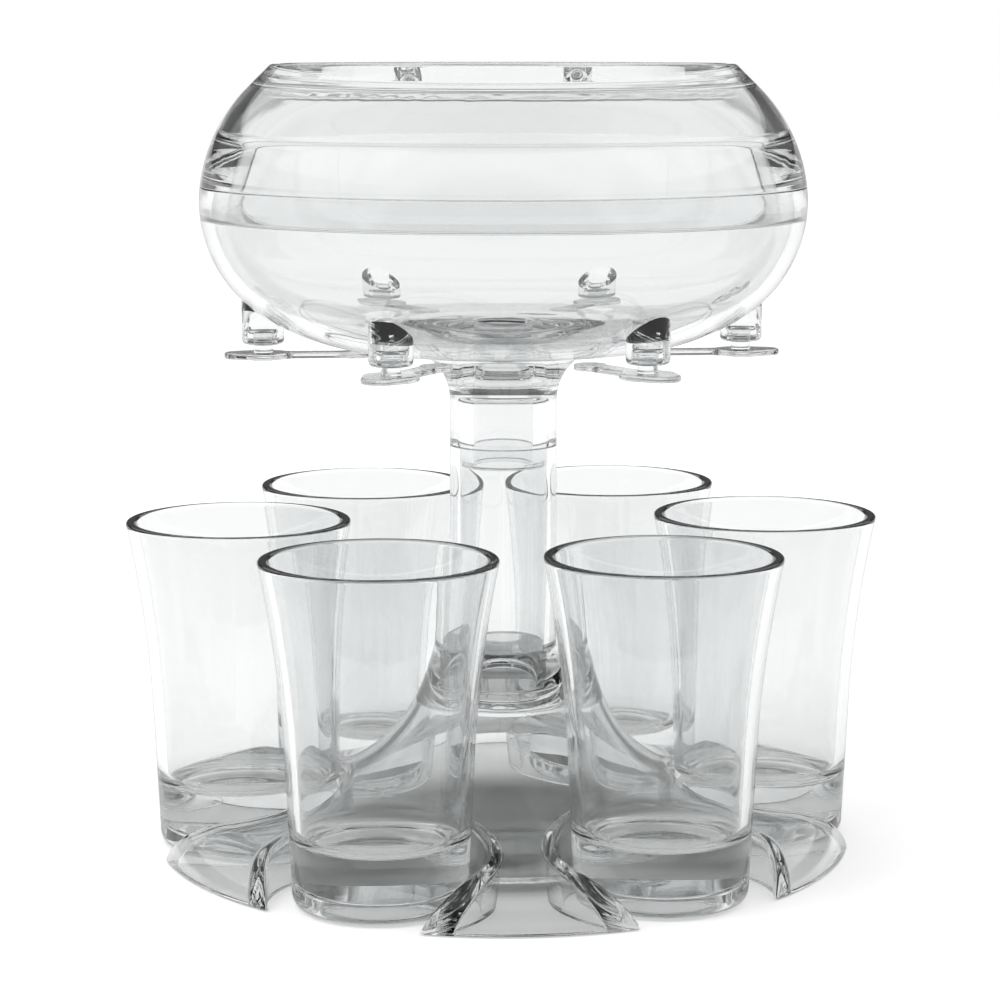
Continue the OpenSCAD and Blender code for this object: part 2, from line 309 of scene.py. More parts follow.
def carve(piece: bpy.types.Object, tool: Surface, cut: Cut, crease: float = 32.0) -> None:
    """Adds a solid to a piece or takes it away, and keeps the new edges crisp.

    Args:
        piece: The object that is changed.
        tool: The closed solid that is added or taken.
        cut: Which of the two.
        crease: Angle in degrees past which an edge stays sharp.
    """
    helper = mesh_object(piece.name + "_tool", tool)
    modifier = piece.modifiers.new("carve", "BOOLEAN")
    modifier.operation = cut.value
    modifier.solver = "EXACT"
    modifier.object = helper
    graph = bpy.context.evaluated_depsgraph_get()
    result = bpy.data.meshes.new_from_object(piece.evaluated_get(graph))
    piece.modifiers.clear()
    old = piece.data
    piece.data = result
    result.name = piece.name
    bpy.data.meshes.remove(old)
    helper_mesh = helper.data
    bpy.data.objects.remove(helper)
    bpy.data.meshes.remove(helper_mesh)
    result.shade_smooth()
    result.set_sharp_from_angle(angle=math.radians(crease))


# ---------------------------------------------------------------- finishes


def linear(hex_colour: str) -> tuple[float, float, float, float]:
    """A linear colour from an sRGB hex value: ((v + 0.055) / 1.055) ^ 2.4 above the toe.

    Args:
        hex_colour: The colour, as #rrggbb.

    Returns:
        Red, green, blue and an alpha of 1.
    """
    value = np.array([int(hex_colour[i:i + 2], 16) for i in (1, 3, 5)]) / 255.0
    value = np.where(value <= 0.04045, value / 12.92, ((value + 0.055) / 1.055) ** 2.4)
    return (*value.tolist(), 1.0)


def add_node(tree: bpy.types.NodeTree, kind: str, settings: dict | None = None,
             links: dict | None = None) -> bpy.types.Node:
    """Adds a node, sets its properties and inputs, and links its inputs to other outputs.

    Args:
        tree: The node tree.
        kind: The node's type name.
        settings: Names of properties or inputs, or numbers of inputs, and their values.
        links: Names or numbers of inputs, and the outputs that feed them.

    Returns:
        The new node.
    """
    node = tree.nodes.new(kind)
    for name, value in (settings or {}).items():
        if isinstance(name, str) and hasattr(node, name):
            setattr(node, name, value)
        else:
            node.inputs[name].default_value = value
    for name, output in (links or {}).items():
        tree.links.new(output, node.inputs[name])
    return node


def empty_tree(owner: bpy.types.Material | bpy.types.World) -> bpy.types.NodeTree:
    """Switches on the node tree of a material or world, and empties it.

    Args:
        owner: The material or world.

    Returns:
        Its node tree.
    """
    owner.use_nodes = True
    owner.node_tree.nodes.clear()
    return owner.node_tree


@dataclass(frozen=True)
class ClearMoulding:
    """Injection-moulded clear styrene plastic, polished by its mould.

    The eye reads it by its edges, and its colour holds painted edge shade: where a wall is seen
    edge on, the colour turns dark, so rims and outlines show grey while a wall seen square on is
    all but invisible. The mould's flow leaves a slow ripple that bends what is seen through it.
    Where a shade colour is given, the colour also takes painted shade between two bands of
    height, painted_shade_from and painted_shade_to, each of which says where the change starts
    and ends. All sizes are in millimetres.
    """

    name: str
    face_colour: str = "#f3f4f4"
    painted_edge_shade: str = "#2a2c2c"
    edge_shade_start: float = 0.78
    ior: float = 1.53
    ripple_size: float = 11.0
    ripple_depth: float = 0.02
    haze_size: float = 35.0
    roughness_low: float = 0.0
    roughness_high: float = 0.035
    painted_shade_colour: str = ""
    painted_shade_from: tuple[float, float] = (6.0, 12.0)
    painted_shade_to: tuple[float, float] = (17.0, 25.0)

    def painted_height_shade(self, tree: bpy.types.NodeTree,
                  place: bpy.types.Node) -> bpy.types.NodeSocket | None:
        """Painted shade: the plastic's colour, darkened between the two bands of height.

        Args:
            tree: The node tree.
            place: Its texture coordinates.

        Returns:
            The colour's output, or None where the plastic has one colour.
        """
        if not self.painted_shade_colour:
            return None
        axes = add_node(tree, "ShaderNodeSeparateXYZ", links={"Vector": place.outputs["Object"]})
        rise, fall = (add_node(tree, "ShaderNodeMapRange",
                               {"interpolation_type": "SMOOTHSTEP",
                                "From Min": none * MM, "From Max": whole * MM},
                               {"Value": axes.outputs["Z"]})
                      for none, whole in (self.painted_shade_from, self.painted_shade_to[::-1]))
        share = add_node(tree, "ShaderNodeMath", {"operation": "MULTIPLY"},
                         {0: rise.outputs["Result"], 1: fall.outputs["Result"]})
        tint = add_node(tree, "ShaderNodeMix",
                        {"data_type": "RGBA", MIX_FIRST: linear(self.face_colour),
                         MIX_SECOND: linear(self.painted_shade_colour)}, {"Factor": share.outputs[0]})
        return tint.outputs[MIX_OUT]

    def build(self) -> bpy.types.Material:
        """Makes the material.

        Returns:
            The material, with all its nodes linked.
        """
        material = bpy.data.materials.new(self.name)
        tree = empty_tree(material)
        place = add_node(tree, "ShaderNodeTexCoord")
        flow = add_node(tree, "ShaderNodeTexNoise",
                        {"Scale": 1 / (self.ripple_size * MM), "Detail": 2.0, "Roughness": 0.45},
                        {"Vector": place.outputs["Object"]})
        ripple = add_node(tree, "ShaderNodeBump",
                          {"Strength": 1.0, "Distance": self.ripple_depth * MM},
                          {"Height": flow.outputs["Fac"]})
        haze = add_node(tree, "ShaderNodeTexNoise",
                        {"Scale": 1 / (self.haze_size * MM), "Detail": 4.0},
                        {"Vector": place.outputs["Object"]})
        gloss = add_node(tree, "ShaderNodeMapRange",
                         {"From Min": 0.35, "From Max": 0.75, "To Min": self.roughness_low,
                          "To Max": self.roughness_high}, {"Value": haze.outputs["Fac"]})
        # Painted shade: the colour turns towards the dark edge colour where the surface is seen
        # edge on, drawing the dark outlines of the clear walls.
        facing = add_node(tree, "ShaderNodeLayerWeight", {"Blend": 0.5})
        edge = add_node(tree, "ShaderNodeMapRange",
                        {"interpolation_type": "SMOOTHSTEP",
                         "From Min": self.edge_shade_start, "From Max": 1.0},
                        {"Value": facing.outputs["Facing"]})
        tint = add_node(tree, "ShaderNodeMix",
                        {"data_type": "RGBA", MIX_FIRST: linear(self.face_colour),
                         MIX_SECOND: linear(self.painted_edge_shade)}, {"Factor": edge.outputs["Result"]})
        # Painted shade: where given, a darker band of height takes the place of the face colour.
        body = self.painted_height_shade(tree, place)
        if body:
            tree.links.new(body, tint.inputs[MIX_FIRST])
        shader = add_node(tree, "ShaderNodeBsdfPrincipled",
                          {"Transmission Weight": 1.0, "IOR": self.ior},
                          {"Base Color": tint.outputs[MIX_OUT],
                           "Roughness": gloss.outputs["Result"],
                           "Normal": ripple.outputs["Normal"]})
        add_node(tree, "ShaderNodeOutputMaterial", links={"Surface": shader.outputs["BSDF"]})
        return material


@dataclass(frozen=True)
class MouldedSilicone:
    """Translucent moulded silicone: a soft milky body with a matt skin."""

    name: str
    pale: str = "#e9ebe9"
    deep: str = "#cfd3d1"
    grain: float = 0.6
    skin_depth: float = 0.02
    roughness: float = 0.55
    ior: float = 1.41
    clearness: float = 0.35

    def build(self) -> bpy.types.Material:
        """Makes the material.

        Returns:
            The material, with all its nodes linked.
        """
        material = bpy.data.materials.new(self.name)
        tree = empty_tree(material)
        place = add_node(tree, "ShaderNodeTexCoord")
        cloud = add_node(tree, "ShaderNodeTexNoise",
                         {"Scale": 1 / (self.grain * MM), "Detail": 3.0},
                         {"Vector": place.outputs["Object"]})
        tint = add_node(tree, "ShaderNodeMix",
                        {"data_type": "RGBA", MIX_FIRST: linear(self.pale),
                         MIX_SECOND: linear(self.deep)}, {"Factor": cloud.outputs["Fac"]})
        skin = add_node(tree, "ShaderNodeBump", {"Strength": 0.4, "Distance": self.skin_depth * MM},
                        {"Height": cloud.outputs["Fac"]})
        shader = add_node(tree, "ShaderNodeBsdfPrincipled",
                          {"Roughness": self.roughness, "IOR": self.ior,
                           "Transmission Weight": self.clearness},
                          {"Base Color": tint.outputs[MIX_OUT], "Normal": skin.outputs["Normal"]})
        add_node(tree, "ShaderNodeOutputMaterial", links={"Surface": shader.outputs["BSDF"]})
        return material


# ---------------------------------------------------------------- the pieces


@dataclass(frozen=True)
class Sizes:
    """Heights and radii that the pieces share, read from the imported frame, in millimetres."""

    base_h: float
    column_r: float
    socket_z: float
    neck_z: float
    rim_z: float
    spigot_z: float
    seam_z: float
    belly_r: float
    cup_h: float
    cup_ring_r: float
    lever_low_z: float

    @classmethod
    def read(cls) -> "Sizes":
        """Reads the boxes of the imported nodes.

        Returns:
            The sizes.
        """
        column, lower, upper = mm_box("column"), mm_box("lower_shell"), mm_box("upper_shell")
        cup, tap = mm_box("cup_1"), mm_box("tap_1")
        return cls(
            base_h=mm_box("base")[1, 2],
            column_r=column[1, 0],
            socket_z=column[0, 2],
            neck_z=column[1, 2],
            rim_z=upper[1, 2],
            spigot_z=lower[0, 2],
            seam_z=lower[1, 2],
            belly_r=lower[1, 0],
            cup_h=cup[1, 2],
            cup_ring_r=(cup[0, 0] + cup[1, 0]) / 2,
            lever_low_z=tap[0, 2],
        )

    @property
    def tap_ring_r(self) -> float:
        """Distance of the taps' axes from the main axis."""
        return self.cup_ring_r - TAP_INSET


@dataclass
class Piece:
    """What every dressed piece is given: its name, body and the node it stands for; its slot is
    kept, and dress does not use it.
    """

    name: str
    body: str
    node: str
    slot: str

    def dress(self, thing: bpy.types.Object, material: bpy.types.Material) -> None:
        """Gives a finished object its material and its place in the frame.

        Args:
            thing: The object.
            material: Its material.
        """
        thing.data.materials.clear()
        thing.data.materials.append(material)
        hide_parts(self.node)
        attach(thing, self.body)
        log.info("%s: %d faces, on %s", self.name, len(thing.data.polygons), self.body)


@dataclass
class Bowl:
    """The drink bowl: a lower shell with neck and nozzles, and an upper shell with the mouth.

    A nozzle ends inside the shell's wall, nozzle_bite of the way through it where it is lowest.
    """

    sizes: Sizes
    material: bpy.types.Material
    wall: float = 3.0
    belly_arc_r: float = 31.3
    heel_arc_r: float = 50.8
    heel_angle: float = 33.0
    neck_h: float = 10.75
    neck_fillet_r: float = 12.5
    spigot_r: float = 10.32
    spigot_chamfer: float = 0.7
    neck_hollow_r: float = 7.1
    web_rise: float = 12.0
    web_t: float = 3.0
    sump_r: float = 7.0
    seam_rise: float = 3.8
    shoulder_arc_r: float = 38.5
    shoulder_angle: float = 45.8
    rim_w: float = 2.2
    collar_h: float = 6.2
    tongue_h: float = 7.0
    tongue_t: float = 3.3
    glue_gap: float = 0.1
    nozzle_r: float = 5.0
    nozzle_round: float = 1.5
    nozzle_rise: float = 1.1
    nozzle_bite: float = 0.6
    socket_r: float = 2.38
    socket_depth: float = 3.6
    segments: int = 240
    nozzle_segments: int = 64
    socket_segments: int = 48
    arc_points: int = 40

    def __post_init__(self) -> None:
        """Works out the arcs' centres from the sizes."""
        s = self.sizes
        self.fillet_c = (s.column_r + self.neck_fillet_r, s.neck_z + self.neck_h)
        self.under_z = self.fillet_c[1] + self.neck_fillet_r
        lean = math.radians(self.heel_angle)
        step = self.heel_arc_r - self.belly_arc_r
        self.belly_c = (s.belly_r - self.belly_arc_r,
                        self.under_z + self.heel_arc_r - step * math.cos(lean))
        self.heel_c = (self.belly_c[0] - step * math.sin(lean), self.under_z + self.heel_arc_r)
        self.seam_angle = math.degrees(math.asin(self.seam_rise / self.belly_arc_r))
        self.nozzle_z = self.under_z + self.nozzle_rise

    def lower_outline(self) -> np.ndarray:
        """The lower shell's outline, from the web's underside out and back to the sump's floor.

        Returns:
            Points (r, z) of an open outline, with both ends on the axis.
        """
        s = self.sizes
        web_z = s.neck_z + self.web_rise
        sump_z = web_z + self.web_t
        floor_z = self.under_z + self.wall
        chamfer = self.spigot_chamfer
        inner_r = s.belly_r - self.wall
        inner_arc_r = self.belly_arc_r - self.wall
        lap_rise = s.seam_z - self.tongue_h - self.glue_gap - self.belly_c[1]
        lap_angle = min(0.0, math.degrees(math.asin(lap_rise / inner_arc_r)))
        lap = arc(self.belly_c, inner_arc_r, lap_angle, self.heel_angle - 90, self.arc_points)
        seam_point = arc(self.belly_c, self.belly_arc_r, self.seam_angle, self.seam_angle, 1)[0]
        neck_z = s.neck_z + SEAM_GAP
        legs = [
            *straights((0, web_z), (self.neck_hollow_r, web_z), (self.neck_hollow_r, s.spigot_z),
                       (self.spigot_r - chamfer, s.spigot_z),
                       (self.spigot_r, s.spigot_z + chamfer), (self.spigot_r, neck_z),
                       (s.column_r, neck_z)),
            np.concatenate([
                line((s.column_r, neck_z)),
                arc(self.fillet_c, self.neck_fillet_r, 180, 90),
                arc(self.heel_c, self.heel_arc_r, 270, 270 + self.heel_angle),
                arc(self.belly_c, self.belly_arc_r, self.heel_angle - 90, self.seam_angle,
                    self.arc_points)]),
            *straights(seam_point, (inner_r, seam_point[1]), (inner_r, lap[0, 1]), lap[0]),
            np.concatenate([
                lap, arc(self.heel_c, self.heel_arc_r - self.wall, 270 + self.heel_angle, 270)]),
            *straights((self.heel_c[0], floor_z), (self.sump_r, floor_z), (self.sump_r, sump_z),
                       (0, sump_z)),
        ]
        rounds = [1.6, 0.5, 0.3, 0.3, 0.2, 0.12, 0.2, 0.3, 0.05, 0.1, 0.01, 0.5, 0.6]
        return rounded(legs, rounds)

    def upper_outline(self) -> np.ndarray:
        """The upper shell's closed outline, from its tongue up the outside and down the inside.

        Returns:
            Points (r, z), of which the last joins the first.
        """
        s = self.sizes
        seam_r = self.belly_c[0] + self.belly_arc_r * math.cos(math.radians(self.seam_angle))
        seam_z = s.seam_z
        lean = math.radians(self.seam_angle)
        centre = (seam_r - self.shoulder_arc_r * math.cos(lean),
                  seam_z - self.shoulder_arc_r * math.sin(lean))
        outside = arc(centre, self.shoulder_arc_r, self.seam_angle, self.shoulder_angle,
                      self.arc_points)
        slope = math.tan(math.radians(self.shoulder_angle))
        rim_r = outside[-1, 0] - (s.rim_z - outside[-1, 1]) * slope
        mouth_r = rim_r - self.rim_w
        collar_z = s.rim_z - self.collar_h
        inner_arc_r = self.shoulder_arc_r - self.wall
        tongue_r = s.belly_r - self.wall - self.glue_gap
        band_r = tongue_r - self.tongue_t
        band_angle = math.degrees(math.acos((band_r - centre[0]) / inner_arc_r))
        inside = arc(centre, inner_arc_r, self.shoulder_angle, band_angle, self.arc_points)
        collar_root_r = inside[0, 0] - (collar_z - inside[0, 1]) * slope
        tongue_z = seam_z - self.tongue_h
        seat_z = seam_z + SEAM_GAP
        legs = [
            *straights((band_r, tongue_z), (tongue_r, tongue_z), (tongue_r, seat_z),
                       (outside[0, 0], seat_z)),
            np.concatenate([line((outside[0, 0], seat_z)), outside[1:], line((rim_r, s.rim_z))]),
            *straights((rim_r, s.rim_z), (mouth_r, s.rim_z), (mouth_r, collar_z),
                       (collar_root_r, collar_z)),
            np.concatenate([line((collar_root_r, collar_z)), inside]),
            line(inside[-1], (band_r, tongue_z)),
        ]
        rounds = [0.4, 0.3, 0.35, 0.7, 0.6, 0.7, 1.2, 1.5, 0.5]
        return rounded(legs, rounds, closed=True)

    def nozzle(self) -> Surface:
        """One nozzle, turned about its own axis, which ends inside the shell's wall.

        Returns:
            The closed solid.
        """
        low = self.nozzle_z
        # The skin over the nozzle's inner side is its lowest, so the plug stops short of the room.
        skin_z = float(self.skin_height(self.sizes.tap_ring_r - self.nozzle_r))
        top = skin_z + self.wall * self.nozzle_bite
        legs = straights((0, low), (self.nozzle_r, low), (self.nozzle_r, top), (0, top))
        outline = rounded(legs, [self.nozzle_round, 0.01])
        return turned_outline(outline, self.nozzle_segments, closed=False)

    def nozzle_slanted(self) -> Surface:
        """The nozzle with its top pushed up along the shell, to end inside the wall all round.

        Each point above the nozzle's foot is raised by the height of the shell's mid-wall there,
        in proportion to how far up the nozzle it lies.

        Returns:
            The closed solid, in the first nozzle's place.
        """
        body = self.nozzle()
        ring_r = self.sizes.tap_ring_r
        straight = self.nozzle_z + self.nozzle_round
        top = body.vertices[:, 2].max()
        reach = np.hypot(body.vertices[:, 0] + ring_r, body.vertices[:, 1])
        skin = self.skin_height(reach) + self.wall / 2
        share = np.clip((body.vertices[:, 2] - straight) / (top - straight), 0, 1)
        body.vertices[:, 2] += share * (skin - top)
        return body.moved((ring_r, 0, 0))

    def skin_height(self, reach: np.ndarray | float) -> np.ndarray:
        """Height of the shell's outside at a distance from the axis, from its two lower arcs.

        Args:
            reach: Distances from the axis.

        Returns:
            The centre's height less half the chord at that reach, of the arc that holds there.
        """
        join_r = self.belly_c[0] + self.belly_arc_r * math.sin(math.radians(self.heel_angle))
        heel = self.heel_c[1] - half_chord(self.heel_arc_r, reach - self.heel_c[0])
        belly = self.belly_c[1] - half_chord(self.belly_arc_r, reach - self.belly_c[0])
        return np.where(reach < join_r, heel, belly)

    def socket(self) -> Surface:
        """The blind hole in a nozzle that takes the tap's peg, with a rounded end.

        Returns:
            The solid to take away, in the first nozzle's place.
        """
        low = self.nozzle_z
        top = low + self.socket_depth
        below = low - 1.0
        lip_z = low - 0.01
        flare = 0.25
        mouth_r = self.socket_r + flare
        legs = straights((0, below), (mouth_r, below), (mouth_r, lip_z),
                         (self.socket_r, low + flare), (self.socket_r, top), (0, top))
        outline = rounded(legs, [0.01, 0.05, 0.1, 1.0], spacing=0.8)
        hole = turned_outline(outline, self.socket_segments, closed=False)
        return hole.moved((self.sizes.tap_ring_r, 0, 0))

    def build(self) -> None:
        """Makes both shells and gives them their places."""
        lower = mesh_object("bowl_lower",
                            turned_outline(self.lower_outline(), self.segments, False))
        turns = [FULL_TURN * k / PLACES for k in range(PLACES)]
        carve(lower, Surface.joined([self.nozzle_slanted().turned(a) for a in turns]), Cut.ADD)
        carve(lower, Surface.joined([self.socket().turned(a) for a in turns]), Cut.TAKE)
        Piece("bowl_lower", "bowl", "lower_shell", "clear_bowl").dress(lower, self.material)
        upper = mesh_object("bowl_upper",
                            turned_outline(self.upper_outline(), self.segments, True))
        Piece("bowl_upper", "bowl", "upper_shell", "clear_bowl").dress(upper, self.material)


@dataclass
class Column:
    """The clear tube between base and bowl, with the reduced tail that stands in the base.

    The bore narrows evenly from a taper's height above the base to the tail's end.
    """

    sizes: Sizes
    material: bpy.types.Material
    wall: float = 2.35
    tail_step: float = 1.35
    tail_wall: float = 2.0
    taper_h: float = 14.0
    segments: int = 160

    def build(self) -> None:
        """Makes the column."""
        s = self.sizes
        bore_r = s.column_r - self.wall
        tail_r = s.column_r - self.tail_step
        tail_bore_r = tail_r - self.tail_wall
        seat_z = s.base_h + SEAM_GAP
        taper_z = s.base_h + self.taper_h
        top_z = s.neck_z - SEAM_GAP
        legs = straights((tail_bore_r, s.socket_z), (tail_r, s.socket_z), (tail_r, seat_z),
                         (s.column_r, seat_z), (s.column_r, top_z), (bore_r, top_z),
                         (bore_r, taper_z), (tail_bore_r, s.socket_z))
        outline = rounded(legs, [0.4, 0.2, 0.12, 0.12, 0.25, 3.0, 0.4], spacing=2.5, closed=True)
        tube = mesh_object("column_tube", turned_outline(outline, self.segments, True))
        Piece("column_tube", "stand", "column", "clear_column").dress(tube, self.material)


@dataclass
class ShotCup:
    """A shot cup: a tapered side that flares to the rim, on a thick base that is hollow below."""

    sizes: Sizes
    material: bpy.types.Material
    foot_r: float = 19.7
    taper: float = 0.045
    flare_z: float = 32.6
    flare_r: float = 285.0
    wall: float = 2.6
    floor_z: float = 14.3
    floor_round: float = 4.0
    foot_round: float = 2.6
    kick_h: float = 4.0
    kick_r: float = 13.5
    kick_slant: float = 1.0
    side_points: int = 50
    segments: int = 128

    def side(self, z: np.ndarray) -> np.ndarray:
        """Outside radius at height z: foot + taper z + R - half the chord at z less flare_z."""
        rise = np.maximum(z - self.flare_z, 0)
        return self.foot_r + self.taper * z + self.flare_r - half_chord(self.flare_r, rise)

    def outline(self) -> np.ndarray:
        """The cup's outline, from the axis under it, up its outside and down to its inner floor.

        Returns:
            Points (r, z) of an open outline, with both ends on the axis.
        """
        top = self.sizes.cup_h
        roof_r = self.kick_r - self.kick_slant
        up = np.linspace(0, top, self.side_points)
        down = np.linspace(top, self.floor_z, self.side_points)
        outside = np.stack([self.side(up), up], axis=1)
        inside = np.stack([self.side(down) - self.wall, down], axis=1)
        legs = [
            *straights((0, self.kick_h), (roof_r, self.kick_h), (self.kick_r, 0), outside[0]),
            outside,
            line(outside[-1], inside[0]),
            inside,
            line(inside[-1], (0, self.floor_z)),
        ]
        return rounded(legs, [0.9, 0.5, self.foot_round, 0.9, 0.9, self.floor_round], spacing=1.8)

    def build(self) -> None:
        """Makes the six cups."""
        shape = turned_outline(self.outline(), self.segments, closed=False)
        for k in range(PLACES):
            placed = shape.moved((self.sizes.cup_ring_r, 0, 0)).turned(FULL_TURN * k / PLACES)
            cup = mesh_object(f"shot_cup_{k + 1}", placed)
            Piece(cup.name, f"cup_{k + 1}", f"cup_{k + 1}", "clear_cup").dress(cup, self.material)


@dataclass
class Taps:
    """Six levers, each with the peg that turns in its nozzle, and their face seals."""

    sizes: Sizes
    material: bpy.types.Material
    seal_material: bpy.types.Material
    lever_t: float = 1.4
    edge_round: float = 0.45
    pad_r: float = 6.4
    nose_r: float = 4.4
    nose_shift: float = 4.8
    arm_half_w: float = 2.5
    arm_fillet_r: float = 3.0
    tab_r: float = 3.8
    tab_reach: float = 21.6
    tab_fillet_r: float = 6.0
    peg_r: float = 2.3
    bead_out: float = 0.2
    bead_half: float = 0.3
    bead_share: float = 0.72
    nose_points: int = 14
    pad_points: int = 18
    fillet_points: int = 10
    arm_points: int = 8
    face_points: int = 9
    round_points: int = 6
    bead_points: int = 8
    peg_segments: int = 48
    seal_segments: int = 40

    def edge(self, inset: float) -> np.ndarray:
        """Half of the lever's outline, drawn in by an inset, from the nose to the finger tab.

        Every outward arc loses the inset from its radius and every hollow arc gains it, so the
        drawn-in outline stays parallel.

        Args:
            inset: How far the outline is drawn in.

        Returns:
            Points (x, y), with both ends on the lever's centre line.
        """
        pad, nose, tab = self.pad_r - inset, self.nose_r - inset, self.tab_r - inset
        fillet, tab_fillet = self.arm_fillet_r + inset, self.tab_fillet_r + inset
        side = math.degrees(math.acos((self.pad_r - self.nose_r) / self.nose_shift))
        pad_x = -math.sqrt((self.pad_r + self.arm_fillet_r) ** 2
                           - (self.arm_half_w + self.arm_fillet_r) ** 2)
        meet = math.degrees(math.acos(pad_x / (self.pad_r + self.arm_fillet_r)))
        tab_x = -self.tab_reach + math.sqrt((self.tab_r + self.tab_fillet_r) ** 2
                                            - (self.arm_half_w + self.tab_fillet_r) ** 2)
        tab_meet = math.degrees(math.acos((tab_x + self.tab_reach)
                                          / (self.tab_r + self.tab_fillet_r)))
        arm = np.linspace(pad_x, tab_x, self.arm_points)[1:-1]
        return np.concatenate([
            arc((self.nose_shift, 0), nose, 0, side, self.nose_points),
            arc((0, 0), pad, side, meet, self.pad_points)[1:],
            arc((pad_x, self.arm_half_w + self.arm_fillet_r), fillet, meet - 180, -90,
                self.fillet_points)[1:],
            np.stack([arm, np.full_like(arm, self.arm_half_w - inset)], axis=1),
            arc((tab_x, self.arm_half_w + self.tab_fillet_r), tab_fillet, -90, tab_meet - 180,
                self.fillet_points),
            arc((-self.tab_reach, 0), tab, tab_meet, 180, self.pad_points)[1:],
        ])

    def plate(self) -> Surface:
        """The lever: its outline carried round a rounded edge, and flat faces ruled across it.

        Returns:
            The closed plate, about the tap's own axis.
        """
        low, high = self.sizes.lever_low_z, self.sizes.lever_low_z + self.lever_t
        r = self.edge_round
        rim = np.concatenate([arc((0, high - r), r, 90, 0, self.round_points),
                              arc((0, low + r), r, 0, -90, self.round_points)])
        rows = []
        for out, z in rim:
            half = self.edge(r - out)
            loop = np.concatenate([half, half[-2:0:-1] * np.array([1, -1])])
            rows.append(np.column_stack([loop, np.full(len(loop), z)]))
        wall = grid(np.stack(rows), wrap_columns=True)
        half = self.edge(r)
        across = np.linspace(1, -1, self.face_points)
        faces = [grid(np.stack([half[:, :1] + 0 * across, half[:, 1:] * across,
                                np.full((len(half), len(across)), z)], axis=-1))
                 for z in (high, low)]
        return Surface.joined([wall] + faces)

    def peg(self) -> Surface:
        """The peg with its snap bead, bead_share of the way up it, standing on the lever.

        Returns:
            The closed solid, about the tap's own axis.
        """
        node = mm_box("tap_1")
        low, top = self.sizes.lever_low_z + self.lever_t / 2, node[1, 2]
        bead_z = low + (top - low) * self.bead_share
        legs = [*straights((0, low), (self.peg_r, low), (self.peg_r, bead_z - self.bead_half)),
                arc((self.peg_r, bead_z), self.bead_out, -90, 90, self.bead_points),
                *straights((self.peg_r, bead_z + self.bead_half), (self.peg_r, top), (0, top))]
        legs[2][0], legs[2][-1] = legs[1][-1], legs[3][0]
        outline = rounded(legs, [0.02, 0.1, 0.1, 0.4], spacing=0.5, steps=4)
        return turned_outline(outline, self.peg_segments, closed=False)

    def seal(self) -> Surface:
        """The face seal: a thin disc on the peg's end.

        Returns:
            The closed disc, about the tap's own axis.
        """
        box = mm_box("tap_seal_1")
        radius = (box[1, 0] - box[0, 0]) / 2
        low, top = box[0, 2], box[1, 2]
        legs = straights((0, low), (radius, low), (radius, top), (0, top))
        outline = rounded(legs, [0.12, 0.12], spacing=0.5, steps=3)
        return turned_outline(outline, self.seal_segments, closed=False)

    def build(self) -> None:
        """Makes the six taps and their seals."""
        reach = self.sizes.tap_ring_r
        tap = mesh_object("tap_form", self.plate())
        carve(tap, self.peg(), Cut.ADD)
        form = tap.data
        points = np.empty(len(form.vertices) * 3, dtype=np.float32)
        form.vertices.foreach_get("co", points)
        points = points.reshape(-1, 3) + np.array([reach * MM, 0, 0])
        for k in range(PLACES):
            turn = FULL_TURN * k / PLACES
            lever = scene_object(f"tap_lever_{k + 1}", form.copy())
            lever.data.vertices.foreach_set("co", (points @ spin(turn)).astype(np.float32).ravel())
            lever.data.update()
            Piece(lever.name, f"tap_{k + 1}", f"tap_{k + 1}", "clear_tap").dress(
                lever, self.material)
            seal = mesh_object(f"face_seal_{k + 1}", self.seal().moved((reach, 0, 0)).turned(turn))
            Piece(seal.name, f"tap_{k + 1}", f"tap_seal_{k + 1}", "seal_silicone").dress(
                seal, self.seal_material)
        bpy.data.objects.remove(tap)
        bpy.data.meshes.remove(form)


